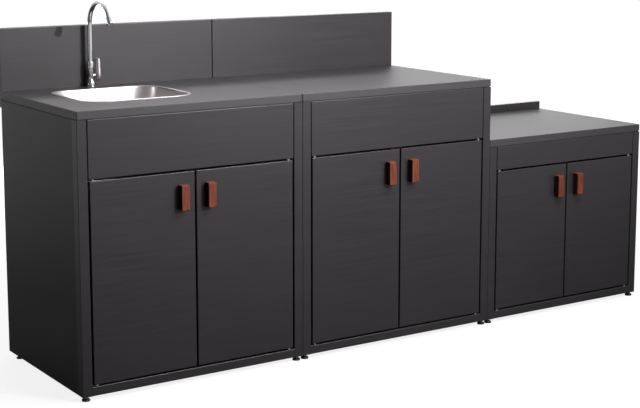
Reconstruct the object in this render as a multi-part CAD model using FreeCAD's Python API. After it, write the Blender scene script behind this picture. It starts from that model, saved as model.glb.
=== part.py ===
import FreeCAD, Part
import math
import os

V = FreeCAD.Vector

# A row of three outdoor kitchen cabinets: a sink cabinet, a storage cabinet and a low
# cabinet for a table grill. All lengths are in millimetres. X runs along the front from
# left to right, Y from the front to the back and Z up. The origin is the middle of the
# row's footprint on the floor.

# Row and cabinets
tall_width = 800.0
low_width = 750.0
depth = 600.0
tall_height = 885.0
low_height = 665.0
foot_height = 15.0

# Carcass of folded sheet
sheet = 1.5
edge_radius = 2.0
post_size = 33.0
post_plate = 3.0
side_flange = 25.0
rail_height = 29.0
back_flange = 12.0
tall_fascia_height = 182.0
low_fascia_height = 85.0
fascia_gap = 2.0
fascia_step = 4.0

# Worktops, backsplashes and upstand
worktop_sheet = 2.0
worktop_band = 28.0
worktop_lip = 15.0
shadow_gap_height = 3.0
shadow_gap_depth = 4.0
splash_depth = 40.0
splash_above = 208.0
splash_below = 53.0
splash_gap = 1.0
splash_lip = 15.0
upstand_height = 30.0
upstand_depth = 25.0
upstand_seat = 0.5
upstand_seat_margin = 1.0

# Doors, their pivots, pulls and catches
door_thickness = 18.0
door_gap = 6.0
door_lip = 15.0
door_edge_radius = 2.0
pivot_inset = 12.0
pin_radius = 3.0
pin_reach = 12.0
pin_collar_radius = 5.5
pin_head_height = 2.0
pull_width = 29.0
pull_height = 80.0
handle_proud = 25.0
pull_from_edge = 30.0
pull_below_top = 39.0
pull_edge_radius = 2.5
catch_width = 46.0
catch_height = 14.0
catch_magnet_width = 16.0
catch_magnet_height = 8.0
catch_magnet_proud = 1.0

# Levelling feet
stud_radius = 4.0
stud_reach = 20.0
stud_hex_height = 5.0
stud_hex_radius = 7.5
pad_radius = 13.0
pad_rim_height = 6.0
pad_hub_radius = 7.5
pad_socket_depth = 5.0
pad_chamfer = 1.5
rear_foot_inset = 55.0

# Shelf of the storage cabinet
shelf_height = 25.0
shelf_lip = 15.0
shelf_setback = 20.0
shelf_height_share = 0.52
bracket_length = 24.0
bracket_height = 10.0
bracket_reach = 12.0
bracket_inset = 60.0

# Screws and bolts
screw_radius = 2.5
screw_head_radius = 4.75
screw_head_height = 2.6
screw_tail = 4.0
screw_edge = 12.0
screw_height_shares = (0.08, 0.5, 0.84)
screw_depth_shares = (0.2, 0.75)
bolt_radius = 3.0
bolt_head_radius = 6.5
bolt_head_height = 4.0
bolt_tail = 3.0
bolt_inset = 70.0

# Sink
basin_x = 312.0
basin_y = 339.0
basin_length = 400.0
basin_width = 350.0
basin_corner = 85.0
basin_rim = 12.0
basin_depth = 150.0
basin_wall = 1.0
basin_rim_thickness = 1.6
basin_floor_radius = 28.0
clip_width = 16.0
clip_reach = 14.0
clip_drop = 20.0
clip_thickness = 2.0
clip_offset_share = 0.22

# Waste, strainer and bottle trap
waste_radius = 21.5
waste_wall = 2.0
waste_length = 40.0
waste_flange_radius = 32.0
waste_flange_thickness = 1.5
strainer_rim_radius = 26.0
strainer_thickness = 1.2
strainer_cup_radius = 17.5
strainer_cup_depth = 18.0
strainer_knob_radius = 4.0
strainer_knob_height = 14.0
strainer_hole_radius = 2.2
strainer_hole_circle = 11.0
strainer_hole_count = 8
trap_collar_radius = 29.0
trap_collar_height = 16.0
trap_radius = 33.0
trap_height = 118.0
trap_wall = 2.5
outlet_radius = 20.0
outlet_length = 40.0
outlet_step = 1.0
outlet_end_y = 545.0
outlet_below_basin = 55.0
service_width = 200.0
service_height = 120.0

# Tap
tap_from_back = 26.0
tap_flange_radius = 15.0
tap_flange_height = 4.0
tap_foot_radius = 12.5
tap_foot_height = 24.0
tap_foot_softness = 2.0
tap_waist_radius = 9.0
tap_waist_height = 41.0
tap_column_radius = 10.75
tap_column_height = 86.0
tap_shank_radius = 10.0
tap_shank_length = 45.0
tap_nut_radius = 17.0
tap_nut_height = 8.0
tap_bore_depth = 25.0
spout_radius = 8.0
spout_wall = 1.0
spout_bend = 78.0
spout_sweep_degrees = 150.0
spout_top = 296.0
spout_tail = 26.0
aerator_radius = 11.0
aerator_length = 26.0
aerator_recess = 3.0
lever_offset = 28.0
lever_axis_height = 38.0
boss_radius = 8.0
boss_end = 13.0
stem_radius = 5.0
stem_neck_radius = 3.0
stem_inner = 3.0
stem_collar = 1.2
knuckle_radius = 5.0
knuckle_width = 8.0
lever_radius = 11.7
lever_flatness_share = 0.95
lever_below = 20.0
lever_above = 59.0
lever_tip_radius = 6.0
lever_tilt_degrees = 20.0

# Fits and clearances
running_gap = 0.3
fit_gap = 0.05
cutout_gap = 1.5
overrun = 5.0
near = 1e-4

# Places that follow from the sizes above
row_width = 2 * tall_width + low_width
left = -row_width / 2
front = handle_proud - (depth + splash_depth + handle_proud) / 2
back = front + depth
bottom = foot_height


class Cabinet:
    """One cabinet of the row, with the places that its pieces share."""

    def __init__(self, name, x0, width, height, fascia_height):
        self.name = name
        self.x0 = x0
        self.x1 = x0 + width
        self.mid = x0 + width / 2
        self.top = bottom + height
        self.carcass_top = self.top - worktop_band
        self.rail_top = bottom + rail_height
        self.fascia_bottom = self.carcass_top - fascia_height
        self.door_top = self.fascia_bottom - door_gap
        self.door_bottom = self.rail_top + door_gap
        self.open0 = x0 + post_size
        self.open1 = self.x1 - post_size


sink = Cabinet("sink", left, tall_width, tall_height, tall_fascia_height)
store = Cabinet("store", sink.x1, tall_width, tall_height, tall_fascia_height)
low = Cabinet("low", store.x1, low_width, low_height, low_fascia_height)
cabinets = (sink, store, low)


def block(low_corner, high_corner):
    size = [b - a for a, b in zip(low_corner, high_corner)]
    return Part.makeBox(size[0], size[1], size[2], V(*low_corner))


def rod(radius, start, end):
    run = V(*end) - V(*start)
    return Part.makeCylinder(radius, run.Length, V(*start), run)


def hexagon(radius, start, height):
    turns = [2 * math.pi * i / 6 for i in range(7)]
    points = [V(start[0] + radius * math.cos(a), start[1] + radius * math.sin(a), start[2]) for a in turns]
    return Part.Face(Part.makePolygon(points)).extrude(V(0, 0, height))


def soften(shape, radius, wanted):
    """Rounds the edges that the test picks, as a bend rounds a folded sheet."""
    return shape.makeFillet(radius, [edge for edge in shape.Edges if wanted(edge)])


def lies_at(edge, axis, value):
    return all(abs(vertex.Point[axis] - value) < near for vertex in edge.Vertexes)


def runs_along(edge, axis):
    ends = [vertex.Point for vertex in edge.Vertexes]
    return len(ends) == 2 and abs(abs((ends[1] - ends[0])[axis]) - edge.Length) < near


def pan_cavity(low_corner, high_corner, wall, axis, sign, lip):
    """The hollow of a folded pan and the mouth between its return lips."""
    inset = max(lip, wall)
    inner = block([v + wall for v in low_corner], [v - wall for v in high_corner])
    mouth_low = [v + inset for v in low_corner]
    mouth_high = [v - inset for v in high_corner]
    if sign > 0:
        mouth_high[axis] = high_corner[axis] + overrun
    else:
        mouth_low[axis] = low_corner[axis] - overrun
    return inner.fuse(block(mouth_low, mouth_high))


def pan(low_corner, high_corner, wall, axis, sign, lip, outer=None):
    """A folded pan that is open on one side of the given axis."""
    body = outer if outer else block(low_corner, high_corner)
    return body.cut(pan_cavity(low_corner, high_corner, wall, axis, sign, lip)).removeSplitter()


def rounded_slab(mid_x, mid_y, length, width, corner, z0, height):
    """An upright block whose four corners have a large radius."""
    low_corner = [mid_x - length / 2, mid_y - width / 2, z0]
    slab = block(low_corner, [mid_x + length / 2, mid_y + width / 2, z0 + height])
    return soften(slab, corner, lambda edge: runs_along(edge, 2))


def save(name, shape):
    shape.exportStep("parts/" + name + ".step")


def save_group(name, solids):
    save(name, Part.makeCompound(solids))


def feet_of(cab):
    """The four places where a cabinet stands: under its posts and near the back corners."""
    near_post = post_size / 2
    rear_y = back - rear_foot_inset
    return [(x, y) for x in (cab.x0 + near_post, cab.x1 - near_post) for y in (front + near_post, rear_y)]


def pivots_of(cab):
    """The upright pivot lines of the left and the right door."""
    inset = door_gap + pivot_inset
    y = front + door_thickness / 2
    return [(cab.open0 + inset, y), (cab.open1 - inset, y)]


def pin_holes(cab, z):
    """Holes for the hinge pins of both doors in a sheet at the given height."""
    radius = pin_radius + fit_gap
    return [rod(radius, (x, y, z - overrun), (x, y, z + overrun)) for x, y in pivots_of(cab)]


def worktop_screws_of(cab):
    """Where screws go up through the side flanges into the worktop."""
    ys = [front + depth * share for share in screw_depth_shares]
    return [(x, y) for x in (cab.x0 + screw_edge, cab.x1 - screw_edge) for y in ys]


def back_screws_of(cab):
    """Where screws go through the rear flanges into the back panel."""
    height = cab.carcass_top - bottom
    zs = [bottom + height * share for share in screw_height_shares]
    return [(x, z) for x in (cab.x0 + screw_edge, cab.x1 - screw_edge) for z in zs]


def bolts_between(cab, other):
    """Where bolts join two neighbouring cabinets through their side panels."""
    top = min(cab.carcass_top, other.carcass_top) - bolt_inset
    ys = (front + post_size + bolt_inset, back - bolt_inset)
    return [(y, z) for y in ys for z in (bottom + rail_height + bolt_inset, top)]


def post(cab, x0):
    """Square front post, closed below by a plate that takes the foot's stud."""
    tube = block([x0, front, bottom], [x0 + post_size, front + post_size, cab.carcass_top])
    tube = soften(tube, edge_radius, lambda edge: runs_along(edge, 2) and lies_at(edge, 1, front))
    bore = block(
        [x0 + sheet, front + sheet, bottom + post_plate],
        [x0 + post_size - sheet, front + post_size - sheet, cab.carcass_top + overrun],
    )
    x, y = x0 + post_size / 2, front + post_size / 2
    stud_hole = rod(stud_radius + fit_gap, (x, y, bottom - overrun), (x, y, bottom + post_plate + overrun))
    return tube.cut(bore).cut(stud_hole)


def side_holes(cab, x0, x1):
    """Holes in a side panel for its foot, its screws and the bolts to its neighbours."""
    cuts = []
    for x, y in feet_of(cab):
        if x0 < x < x1 and y > front + post_size:
            cuts.append(rod(stud_radius + fit_gap, (x, y, bottom - overrun), (x, y, bottom + overrun)))
    for x, y in worktop_screws_of(cab):
        if x0 < x < x1:
            z = cab.carcass_top
            cuts.append(rod(screw_radius + fit_gap, (x, y, z - overrun), (x, y, z + overrun)))
    for x, z in back_screws_of(cab):
        if x0 < x < x1:
            cuts.append(rod(screw_radius + fit_gap, (x, back - overrun, z), (x, back + overrun, z)))
    for a, b in zip(cabinets, cabinets[1:]):
        if x0 <= a.x1 <= x1:
            for y, z in bolts_between(a, b):
                ends = (a.x1 - overrun, y, z), (a.x1 + overrun, y, z)
                cuts.append(rod(bolt_radius + fit_gap, ends[0], ends[1]))
    return cuts


def side(cab, is_left):
    """Side panel: one sheet folded inwards on all four edges."""
    x0 = cab.x0 if is_left else cab.x1 - side_flange
    low_corner = [x0, front + post_size, bottom]
    high_corner = [x0 + side_flange, back, cab.carcass_top]
    sign = 1 if is_left else -1
    body = pan(low_corner, high_corner, sheet, 0, sign, 0)
    return body.cut(side_holes(cab, x0, x0 + side_flange))


def base(cab):
    """Floor tray on the side flanges; its front lip is the rail between the posts."""
    rear_y = front + post_size + sheet
    tray = pan(
        [cab.x0 + sheet, rear_y, bottom + sheet],
        [cab.x1 - sheet, back - sheet, cab.rail_top],
        sheet, 2, -1, 0,
    )
    rail_box = [cab.open0, front, bottom], [cab.open1, rear_y + sheet, cab.rail_top]
    rail = block(*rail_box)
    rail = soften(rail, door_edge_radius, lambda edge: runs_along(edge, 0) and lies_at(edge, 1, front))
    rail = pan(rail_box[0], rail_box[1], sheet, 2, -1, 0, rail)
    whole = tray.fuse(rail).removeSplitter()
    return whole.cut(pin_holes(cab, cab.rail_top))


def back_panel(cab):
    """Back panel inside the rear flanges, folded forward at the top."""
    y1 = back - sheet
    y0 = y1 - sheet
    skin = block([cab.x0 + sheet, y0, cab.rail_top], [cab.x1 - sheet, y1, cab.carcass_top - sheet])
    inner0 = cab.x0 + side_flange
    inner1 = cab.x1 - side_flange
    head = block([inner0, y0, cab.rail_top], [inner1, y1, cab.carcass_top])
    fold = block([inner0, y0 - back_flange, cab.carcass_top - sheet], [inner1, y1, cab.carcass_top])
    panel = skin.fuse([head, fold]).removeSplitter()
    for x, z in back_screws_of(cab):
        panel = panel.cut(rod(screw_radius + fit_gap, (x, y0 - overrun, z), (x, y1 + overrun, z)))
    if cab is sink:
        panel = panel.cut(service_cut())
    return panel


def service_cut():
    """Opening in the sink cabinet's back for the water and waste pipes."""
    x = sink.x0 + basin_x
    z = outlet_z()
    half = service_width / 2
    return block(
        [x - half, back - depth / 2, z - service_height / 2],
        [x + half, back + overrun, z + service_height / 2],
    )


def fascia(cab):
    """Fixed front panel above the doors, a pan whose side folds are stepped back."""
    wide_low = [cab.open0, front + fascia_step, cab.fascia_bottom]
    wide_high = [cab.open1, front + post_size, cab.carcass_top]
    face_low = [cab.open0 + fascia_gap, front, cab.fascia_bottom]
    face_high = [cab.open1 - fascia_gap, front + fascia_step + sheet, cab.carcass_top]
    face = soften(block(face_low, face_high), door_edge_radius, lambda edge: lies_at(edge, 1, front))
    body = block(wide_low, wide_high).fuse(face)
    body = body.cut(pan_cavity(wide_low, wide_high, sheet, 1, 1, 0))
    face_low[1] = front
    face_high[1] = front + fascia_step + 3 * sheet
    body = body.cut(pan_cavity(face_low, face_high, sheet, 1, 1, 0)).removeSplitter()
    return body.cut(pin_holes(cab, cab.fascia_bottom))


def worktop(cab):
    """Worktop sheet folded down into a band, in over a shadow gap, down and in again."""
    low_corner = [cab.x0, front, cab.carcass_top + shadow_gap_height]
    high_corner = [cab.x1, back, cab.top]
    slab = soften(block(low_corner, high_corner), edge_radius, lambda edge: lies_at(edge, 2, cab.top))
    step = shadow_gap_depth
    foot_low = [cab.x0 + step, front + step, cab.carcass_top]
    foot_high = [cab.x1 - step, back - step, cab.top - worktop_sheet]
    hollow = block([v + worktop_sheet for v in low_corner], [v - worktop_sheet for v in high_corner])
    foot_top = [foot_high[0], foot_high[1], cab.top]
    foot_hollow = pan_cavity(foot_low, foot_top, worktop_sheet, 2, -1, worktop_lip - step)
    top = slab.fuse(block(foot_low, foot_high)).cut([hollow, foot_hollow]).removeSplitter()
    for x, y in worktop_screws_of(cab):
        z = cab.carcass_top
        top = top.cut(rod(screw_radius + fit_gap, (x, y, z - overrun), (x, y, z + overrun)))
    if cab is sink:
        top = top.cut([basin_cutout(), tap_hole()])
    if cab is low:
        top = top.cut(upstand_seat_cut(cab))
    return top


def splash(cab):
    """Backsplash pan fixed behind the cabinet, open to the back."""
    low_corner = [cab.x0 + splash_gap, back, cab.top - splash_below]
    high_corner = [cab.x1 - splash_gap, back + splash_depth, cab.top + splash_above]
    slab = soften(block(low_corner, high_corner), door_edge_radius, lambda edge: lies_at(edge, 1, back))
    return pan(low_corner, high_corner, sheet, 1, 1, splash_lip, slab)


def upstand_seat_cut(cab):
    """Shallow step in the low worktop's top that the upstand stands in."""
    low_corner = [cab.x0 - overrun, back - upstand_depth - upstand_seat_margin, cab.top - upstand_seat]
    return block(low_corner, [cab.x1 + overrun, back + overrun, cab.top + overrun])


def upstand(cab):
    """Low box-folded upstand along the back edge of the low worktop."""
    low_corner = [cab.x0, back - upstand_depth, cab.top - upstand_seat]
    high_corner = [cab.x1, back, cab.top + upstand_height]
    top_z = high_corner[2]
    slab = soften(block(low_corner, high_corner), door_edge_radius, lambda edge: lies_at(edge, 2, top_z))
    return pan(low_corner, high_corner, sheet, 2, -1, 0, slab)


def door(cab, is_left):
    """Door pan with return lips, pivoting on pins near its outer edge."""
    half_gap = door_gap / 2
    x0 = cab.open0 + door_gap if is_left else cab.mid + half_gap
    x1 = cab.mid - half_gap if is_left else cab.open1 - door_gap
    low_corner = [x0, front, cab.door_bottom]
    high_corner = [x1, front + door_thickness, cab.door_top]
    slab = soften(block(low_corner, high_corner), door_edge_radius, lambda edge: lies_at(edge, 1, front))
    leaf = pan(low_corner, high_corner, sheet, 1, 1, door_lip, slab)
    x, y = pivots_of(cab)[0 if is_left else 1]
    below, above = cab.door_bottom - overrun, cab.door_top + overrun
    return leaf.cut(rod(pin_radius + fit_gap, (x, y, below), (x, y, above)))


def pull(cab, is_left):
    """Hardwood block pull, standing upright near the door's free edge."""
    inner = door_gap / 2 + pull_from_edge
    x0 = cab.mid - inner - pull_width if is_left else cab.mid + inner
    top = cab.door_top - pull_below_top
    grip = block([x0, front - handle_proud, top - pull_height], [x0 + pull_width, front, top])
    return soften(grip, pull_edge_radius, lambda edge: not lies_at(edge, 1, front))


def catch(cab):
    """Double magnetic catch under the fascia, behind the doors' free corners."""
    y0 = front + door_thickness + running_gap
    y1 = front + post_size
    z1 = cab.fascia_bottom
    half = catch_width / 2
    case = block([cab.mid - half, y0 + catch_magnet_proud, z1 - catch_height], [cab.mid + half, y1, z1])
    magnets = []
    for side_sign in (-1, 1):
        x = cab.mid + side_sign * half / 2
        z = z1 - catch_height / 2
        magnets.append(block(
            [x - catch_magnet_width / 2, y0, z - catch_magnet_height / 2],
            [x + catch_magnet_width / 2, y1, z + catch_magnet_height / 2],
        ))
    return case.fuse(magnets).removeSplitter()


def hinge_pins(cab):
    """The four pivot pins of a cabinet's doors, headed inside the frame and collared."""
    pins = []
    for x, y in pivots_of(cab):
        for frame_z, door_z in ((cab.rail_top, cab.door_bottom), (cab.fascia_bottom, cab.door_top)):
            way = 1 if door_z > frame_z else -1
            inner_z = frame_z - way * sheet
            pin = rod(pin_radius, (x, y, inner_z), (x, y, door_z + way * pin_reach))
            head = rod(pin_collar_radius, (x, y, inner_z - way * pin_head_height), (x, y, inner_z))
            collar = rod(pin_collar_radius, (x, y, frame_z), (x, y, door_z - way * running_gap))
            pins.append(pin.fuse([head, collar]).removeSplitter())
    return pins


def foot_stud(x, y):
    """Threaded stud of a levelling foot, with the hexagon that a spanner turns."""
    hex_z = bottom - stud_hex_height
    hex_part = hexagon(stud_hex_radius, (x, y, hex_z), stud_hex_height)
    shank = rod(stud_radius, (x, y, hex_z - pad_socket_depth), (x, y, bottom + stud_reach))
    return hex_part.fuse(shank).removeSplitter()


def foot_pad(x, y):
    """Plastic pad of a levelling foot, with the hub that holds the stud."""
    top = bottom - stud_hex_height
    disc = rod(pad_radius, (x, y, 0), (x, y, pad_rim_height))
    disc = disc.makeChamfer(pad_chamfer, [edge for edge in disc.Edges if lies_at(edge, 2, pad_rim_height)])
    hub = rod(pad_hub_radius, (x, y, 0), (x, y, top))
    socket = rod(stud_radius + fit_gap, (x, y, top - pad_socket_depth), (x, y, top + overrun))
    return disc.fuse(hub).cut(socket).removeSplitter()


def screw(x, y, z, way):
    """Pan-head screw whose head seats at the given point; way is its direction."""
    seat = V(x, y, z)
    head = Part.makeCylinder(screw_head_radius, screw_head_height, seat, way * -1)
    outer_edge = head.Edges[0] if far_edge(head, 0, seat) else head.Edges[2]
    head = head.makeChamfer(screw_head_height / 2, [outer_edge])
    grip = sheet + worktop_sheet + screw_tail
    return head.fuse(Part.makeCylinder(screw_radius, grip, seat, way)).removeSplitter()


def far_edge(head, index, seat):
    return (head.Edges[index].CenterOfMass - seat).Length > screw_head_height / 2


def carcass_screws(cab):
    """Screws up into the worktop and forward through the rear flanges."""
    up = [screw(x, y, cab.carcass_top - sheet, V(0, 0, 1)) for x, y in worktop_screws_of(cab)]
    forward = [screw(x, back, z, V(0, -1, 0)) for x, z in back_screws_of(cab)]
    return up + forward


def module_bolts(cab, other):
    """Bolts with nuts through the two side panels that stand face to face."""
    solids = []
    for y, z in bolts_between(cab, other):
        left_face, right_face = cab.x1 - sheet, cab.x1 + sheet
        head = rod(bolt_head_radius, (left_face - bolt_head_height, y, z), (left_face, y, z))
        tip = right_face + bolt_head_height + bolt_tail
        solids.append(head.fuse(rod(bolt_radius, (left_face, y, z), (tip, y, z))).removeSplitter())
        nut = rod(bolt_head_radius, (right_face, y, z), (right_face + bolt_head_height, y, z))
        bore = rod(bolt_radius + fit_gap, (left_face, y, z), (tip, y, z))
        solids.append(nut.cut(bore))
    return solids


def shelf_z():
    """Underside of the shelf."""
    return store.rail_top + (store.fascia_bottom - store.rail_top) * shelf_height_share


def shelf_brackets():
    """Four small brackets on the storage cabinet's side panels that carry the shelf."""
    solids = []
    top = shelf_z()
    for y in (front + post_size + bracket_inset, back - bracket_inset - bracket_length):
        for x0 in (store.x0 + sheet, store.x1 - sheet - bracket_reach):
            corner = [x0 + bracket_reach, y + bracket_length, top]
            solids.append(block([x0, y, top - bracket_height], corner))
    return solids


def shelf():
    """Shelf pan that lies on the brackets between the side panels."""
    side_gap = sheet + running_gap
    low_corner = [store.x0 + side_gap, front + post_size + shelf_setback, shelf_z()]
    high_corner = [store.x1 - side_gap, back - shelf_setback, shelf_z() + shelf_height]
    return pan(low_corner, high_corner, sheet, 2, -1, shelf_lip)


def basin_middle():
    return sink.x0 + basin_x, front + basin_y


def basin_cutout():
    """Hole in the worktop for the basin, a little larger than its body."""
    x, y = basin_middle()
    grow = 2 * (cutout_gap - basin_rim)
    corner = basin_corner - basin_rim + cutout_gap
    low_z = sink.top - overrun
    return rounded_slab(x, y, basin_length + grow, basin_width + grow, corner, low_z, 2 * overrun)


def basin_body(inset, z0, height):
    """Body of the basin, inset from its outside, with a rounded foot."""
    x, y = basin_middle()
    shrink = 2 * (basin_rim + inset)
    corner = basin_corner - basin_rim - inset
    slab = rounded_slab(x, y, basin_length - shrink, basin_width - shrink, corner, z0, height)
    return soften(slab, basin_floor_radius - inset, lambda edge: lies_at(edge, 2, z0))


def basin():
    """Pressed bowl with a flat rim on the worktop and a hole for the waste."""
    x, y = basin_middle()
    low_z = sink.top - basin_depth
    high_z = sink.top + basin_rim_thickness
    rim = rounded_slab(x, y, basin_length, basin_width, basin_corner, sink.top, basin_rim_thickness)
    rim = soften(rim, basin_rim_thickness / 2, lambda edge: lies_at(edge, 2, high_z))
    bowl = basin_body(0, low_z, basin_depth)
    hollow = basin_body(basin_wall, low_z + basin_wall, basin_depth + overrun)
    drain = rod(waste_radius + fit_gap, (x, y, low_z - overrun), (x, y, low_z + overrun))
    return rim.fuse(bowl).cut(hollow).cut(drain).removeSplitter()


def basin_clips():
    """Clips that hold the bowl under the worktop, two on each long side."""
    x, y = basin_middle()
    under = sink.top - worktop_sheet
    solids = []
    for side_sign in (-1, 1):
        wall_y = y + side_sign * (basin_width / 2 - basin_rim)
        for end_sign in (-1, 1):
            cx = x + end_sign * basin_length * clip_offset_share
            out_y = wall_y + side_sign * (cutout_gap + clip_reach)
            in_y = wall_y + side_sign * clip_thickness
            half = clip_width / 2
            y0, y1 = sorted((wall_y, out_y))
            leg0, leg1 = sorted((wall_y, in_y))
            foot = block([cx - half, y0, under - clip_thickness], [cx + half, y1, under])
            leg = block([cx - half, leg0, under - clip_drop], [cx + half, leg1, under])
            solids.append(foot.fuse(leg).removeSplitter())
    return solids


def bowl_floor():
    return sink.top - basin_depth + basin_wall


def waste():
    """Waste flange on the bowl's floor and the threaded tube below it."""
    x, y = basin_middle()
    floor = bowl_floor()
    seat = floor + waste_flange_thickness
    disc = rod(waste_flange_radius, (x, y, floor), (x, y, seat))
    tube = rod(waste_radius, (x, y, floor - waste_length), (x, y, seat))
    bore = rod(waste_radius - waste_wall, (x, y, floor - waste_length - overrun), (x, y, seat + overrun))
    return disc.fuse(tube).cut(bore).removeSplitter()


def strainer():
    """Lift-out strainer cup with a rim, a knob and a ring of drain holes."""
    x, y = basin_middle()
    seat = bowl_floor() + waste_flange_thickness + running_gap
    top = seat + strainer_thickness
    foot = seat - strainer_cup_depth
    rim = rod(strainer_rim_radius, (x, y, seat), (x, y, top))
    cup = rod(strainer_cup_radius, (x, y, foot), (x, y, top))
    cup_floor = foot + strainer_thickness
    hollow = rod(strainer_cup_radius - strainer_thickness, (x, y, cup_floor), (x, y, top + overrun))
    knob = rod(strainer_knob_radius, (x, y, foot), (x, y, foot + strainer_cup_depth + strainer_knob_height))
    body = rim.fuse(cup).cut(hollow).fuse(knob).removeSplitter()
    holes = []
    for i in range(strainer_hole_count):
        turn = 2 * math.pi * i / strainer_hole_count
        hx = x + strainer_hole_circle * math.cos(turn)
        hy = y + strainer_hole_circle * math.sin(turn)
        holes.append(rod(strainer_hole_radius, (hx, hy, foot - overrun), (hx, hy, foot + overrun)))
    return body.cut(holes)


def outlet_z():
    return sink.top - basin_depth - outlet_below_basin


def trap():
    """Bottle trap screwed to the waste, with its pipe and spigot towards the back."""
    x, y = basin_middle()
    top = sink.top - basin_depth
    neck = top - trap_collar_height
    foot = top - trap_height
    out_z = outlet_z()
    end_y = front + outlet_end_y
    collar = rod(trap_collar_radius, (x, y, neck), (x, y, top))
    bottle = rod(trap_radius, (x, y, foot), (x, y, neck))
    pipe = rod(outlet_radius - outlet_step, (x, y, out_z), (x, end_y, out_z))
    spigot = rod(outlet_radius, (x, end_y - outlet_length, out_z), (x, end_y, out_z))
    thread = rod(waste_radius + fit_gap, (x, y, neck - overrun), (x, y, top + overrun))
    hollow = rod(trap_radius - trap_wall, (x, y, foot + trap_wall), (x, y, neck - trap_wall))
    pipe_bore = rod(outlet_radius - trap_wall, (x, y, out_z), (x, end_y + overrun, out_z))
    return collar.fuse([bottle, pipe, spigot]).cut([thread, hollow, pipe_bore]).removeSplitter()


def tap_foot():
    """Middle of the tap on the worktop."""
    return sink.x0 + basin_x, back - tap_from_back, sink.top


def tap_hole():
    x, y, z = tap_foot()
    return rod(tap_shank_radius + fit_gap, (x, y, z - worktop_sheet - overrun), (x, y, z + overrun))


def tap_body():
    """Tap body: flange, rounded foot, waist, column and the side boss of the lever."""
    x, y, z = tap_foot()
    flange_top = z + tap_flange_height
    foot_top = z + tap_foot_height
    waist_top = z + tap_waist_height
    flange_part = rod(tap_flange_radius, (x, y, z), (x, y, flange_top))
    flange_part = flange_part.makeChamfer(
        tap_flange_height / 2, [edge for edge in flange_part.Edges if lies_at(edge, 2, flange_top)])
    foot_part = rod(tap_foot_radius, (x, y, z), (x, y, foot_top))
    foot_part = soften(foot_part, tap_foot_softness, lambda edge: lies_at(edge, 2, foot_top))
    waist = rod(tap_waist_radius, (x, y, z), (x, y, waist_top))
    column = rod(tap_column_radius, (x, y, waist_top), (x, y, z + tap_column_height))
    shank = rod(tap_shank_radius, (x, y, z - tap_shank_length), (x, y, z))
    axis_z = z + lever_axis_height
    boss = rod(boss_radius, (x, y, axis_z), (x + boss_end, y, axis_z))
    body = flange_part.fuse([foot_part, waist, column, shank, boss]).removeSplitter()
    bore_floor = z + tap_column_height - tap_bore_depth
    bore = rod(spout_radius + fit_gap, (x, y, bore_floor), (x, y, z + tap_column_height + overrun))
    stem_bore = rod(stem_radius + fit_gap, (x + stem_inner, y, axis_z), (x + boss_end + overrun, y, axis_z))
    return body.cut([bore, stem_bore])


def tap_nut():
    """Nut that clamps the tap from below the worktop."""
    x, y, z = tap_foot()
    under = z - worktop_sheet
    nut = hexagon(tap_nut_radius, (x, y, under - tap_nut_height), tap_nut_height)
    return nut.cut(rod(tap_shank_radius + fit_gap, (x, y, under - 2 * tap_nut_height), (x, y, z)))


def spout_path(start_z):
    """Centre line of the gooseneck: up, over towards the front, and down at a slant."""
    x, y, z = tap_foot()
    bend_z = z + spout_top - spout_radius - spout_bend
    sweep = math.radians(spout_sweep_degrees)
    middle = V(x, y - spout_bend, bend_z)

    def on_bend(turn):
        return middle + V(0, spout_bend * math.cos(turn), spout_bend * math.sin(turn))

    end = on_bend(sweep)
    way = V(0, -math.sin(sweep), math.cos(sweep))
    rise = Part.LineSegment(V(x, y, start_z), on_bend(0))
    bend = Part.Arc(on_bend(0), on_bend(sweep / 2), end)
    tail = Part.LineSegment(end, end + way * spout_tail)
    return Part.Wire([rise.toShape(), bend.toShape(), tail.toShape()]), end, way


def swept_tube(radius, start_z):
    path = spout_path(start_z)[0]
    x, y, z = tap_foot()
    ring = Part.Wire(Part.makeCircle(radius, V(x, y, start_z), V(0, 0, 1)))
    return path.makePipeShell([ring], True, False)


def tap_spout():
    """Gooseneck tube that swivels in the body's bore."""
    start_z = sink.top + tap_column_height - tap_bore_depth + running_gap
    return swept_tube(spout_radius, start_z).cut(swept_tube(spout_radius - spout_wall, start_z))


def tap_aerator():
    """Outlet sleeve screwed on the spout's end, with a screen set back in its mouth."""
    path, end, way = spout_path(sink.top)
    tip = end + way * (spout_tail + aerator_recess * 2)
    start = tip - way * aerator_length
    sleeve = Part.makeCylinder(aerator_radius, aerator_length, start, way)
    rims = [edge for edge in sleeve.Edges if len(edge.Vertexes) == 1]
    sleeve = sleeve.makeChamfer(aerator_recess / 2, rims)
    bore_length = spout_tail + aerator_length
    bore = Part.makeCylinder(spout_radius + fit_gap, bore_length, end - way * aerator_length, way)
    bore = bore.cut(Part.makeCylinder(aerator_radius, aerator_length, end + way * spout_tail, way))
    mouth = Part.makeCylinder(spout_radius, aerator_length, tip - way * aerator_recess, way)
    return sleeve.cut([bore, mouth]).removeSplitter()


def lever_pivot():
    x, y, z = tap_foot()
    return x + lever_offset, y, z + lever_axis_height


def knuckle(gap):
    """Short cross cylinder on which the lever tilts, or its pocket with a gap all round."""
    px, py, pz = lever_pivot()
    half = knuckle_width / 2 + gap
    return rod(knuckle_radius + gap, (px, py - half, pz), (px, py + half, pz))


def tap_stem():
    """Cartridge stem that turns in the boss and ends in the lever's knuckle."""
    px, py, pz = lever_pivot()
    x = tap_foot()[0]
    boss_x = x + boss_end
    inner = rod(stem_radius, (x + stem_inner + running_gap, py, pz), (boss_x + running_gap, py, pz))
    collar = rod(boss_radius, (boss_x + running_gap, py, pz), (boss_x + running_gap + stem_collar, py, pz))
    neck = rod(stem_neck_radius, (boss_x, py, pz), (px, py, pz))
    return inner.fuse([collar, neck, knuckle(0)]).removeSplitter()


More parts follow.
